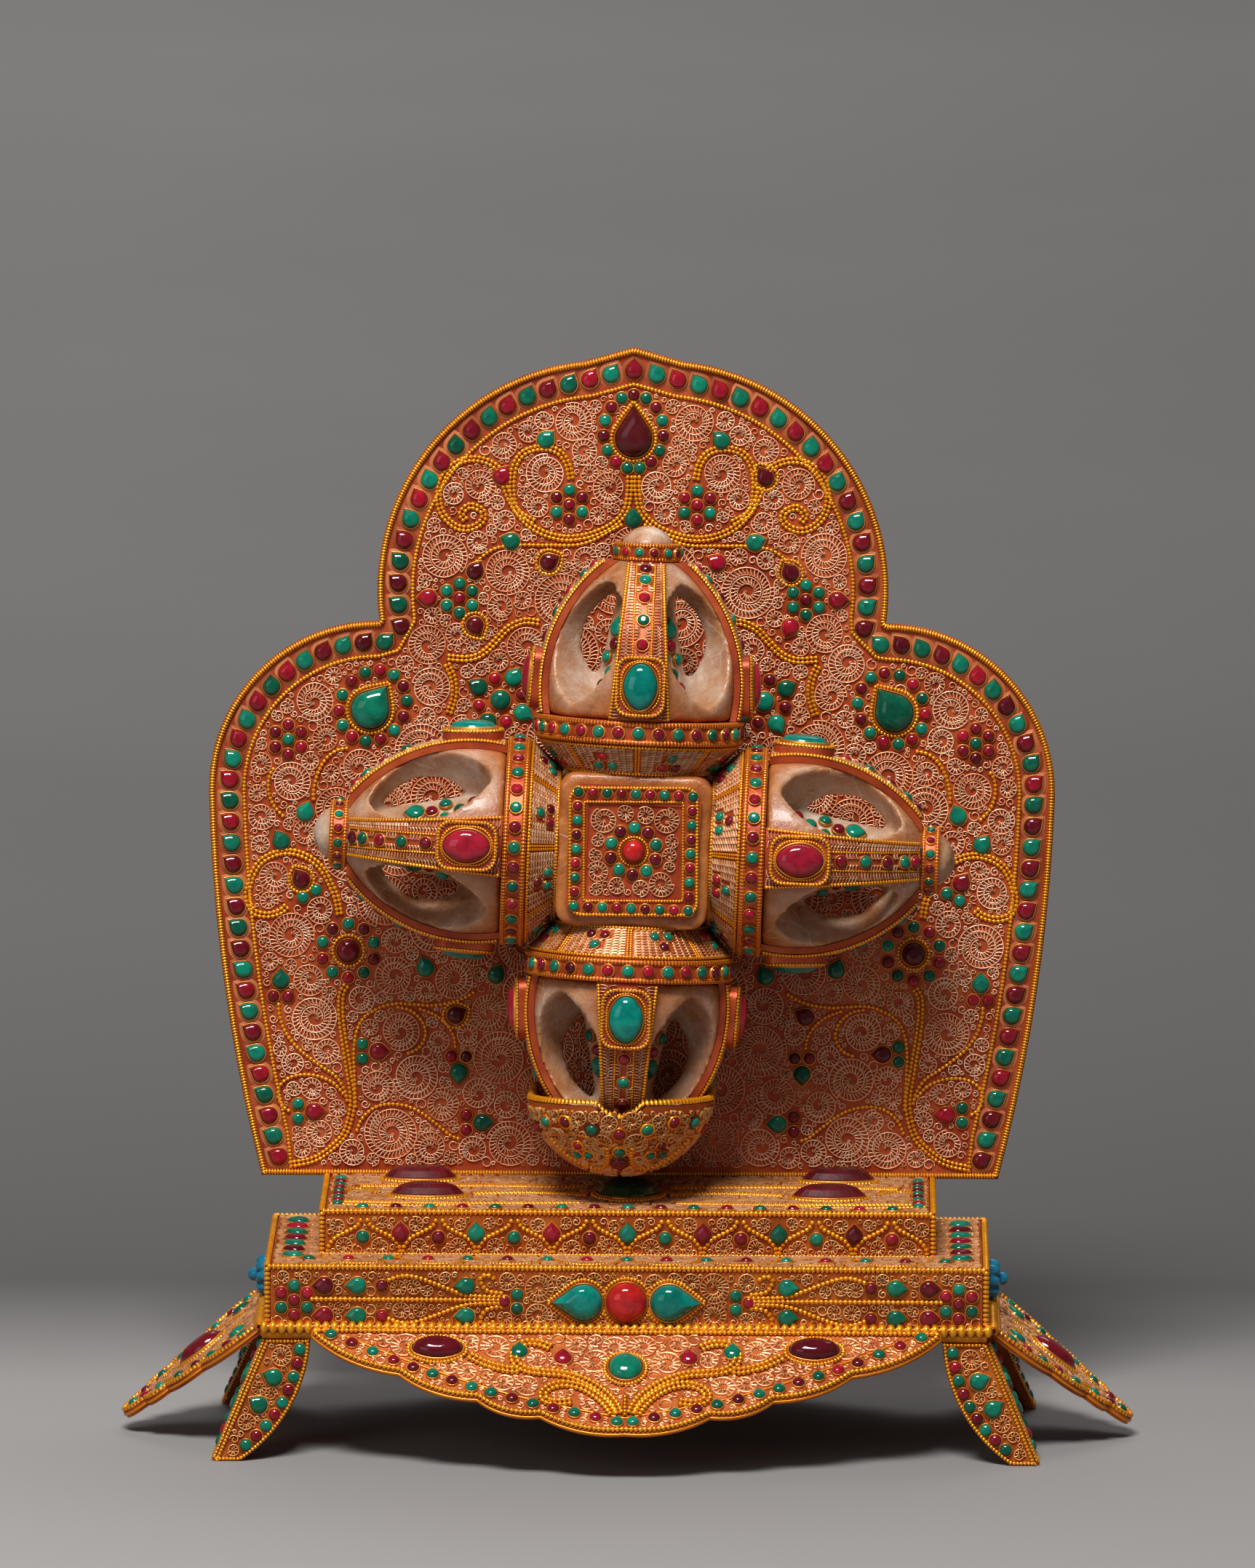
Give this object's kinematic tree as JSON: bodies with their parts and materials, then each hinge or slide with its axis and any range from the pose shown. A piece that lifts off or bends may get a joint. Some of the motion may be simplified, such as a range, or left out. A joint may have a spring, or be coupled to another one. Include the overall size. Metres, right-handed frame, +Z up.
{
  "type": "crossed vajra on a stand",
  "caption": "Crossed ritual vajra of carved crystal with filigree mounts and set stones, standing loose in a cup on a stepped filigree stand with a trefoil back plate.",
  "frame": {"origin": "on the floor under the middle of the stand", "axes": "+Z up, +X to the right seen from the front, +Y toward the back plate"},
  "size_m": [0.2984, 0.1484, 0.3157],
  "materials": {
    "copper": "satin",
    "gilt": "satin",
    "crystal": "polished",
    "green_stone": "polished",
    "red_stone": "polished",
    "coral": "polished",
    "dark_green": "polished",
    "turquoise": "polished"
  },
  "bodies": {
    "stand": {"lower_tier": "copper", "upper_tier": "copper", "base_floor": "copper", "plinth_frame": "gilt", "lower_edge_wires": "gilt", "upper_edge_wires": "gilt", "front_apron": "copper", "rear_apron": "copper", "left_apron": "copper", "right_apron": "copper", "front_left_leg": "copper", "front_right_leg": "copper", "rear_left_leg": "copper", "rear_right_leg": "copper", "back_plate": "copper", "plate_rim_wire": "gilt", "plate_inner_wire": "gilt", "border_drops_green": "green_stone", "border_drops_red": "red_stone", "crest_drop": "red_stone", "shoulder_drops": "green_stone", "plate_stones_green": "green_stone", "plate_stones_red": "red_stone", "vajra_cup": "copper", "cup_rim_wire": "gilt", "cup_stones_green": "green_stone", "cup_stones_red": "red_stone", "front_coral": "coral", "front_drops": "green_stone", "tier_stones_green": "green_stone", "tier_stones_red": "red_stone", "top_green_gem": "dark_green", "top_red_gems": "red_stone", "side_flowers": "turquoise", "apron_stones_green": "green_stone", "apron_stones_red": "red_stone", "leg_stones_green": "green_stone", "leg_stones_red": "red_stone"},
    "vajra": {"crystal_hub": "crystal", "crystal_head_top": "crystal", "crystal_head_bottom": "crystal", "crystal_head_right": "crystal", "crystal_head_left": "crystal", "filigree_collars": "copper", "base_bands": "copper", "neck_bands": "copper", "rib_straps": "copper", "oval_settings": "copper", "oval_stones_green": "green_stone", "oval_stones_red": "red_stone", "hub_panels": "copper", "hub_corals": "coral", "hub_stones_green": "green_stone", "hub_stones_red": "red_stone", "band_stones_green": "green_stone", "band_stones_red": "red_stone", "strap_stones_green": "green_stone", "strap_stones_red": "red_stone", "core_stones_green": "green_stone", "core_stones_red": "red_stone"}
  },
  "joints": [
    {"name": "vajra_lift", "type": "slide", "parent": "stand", "child": "vajra", "axis": [0, 0.1045, 0.9945], "range_m": [0, 0.04]}
  ]
}
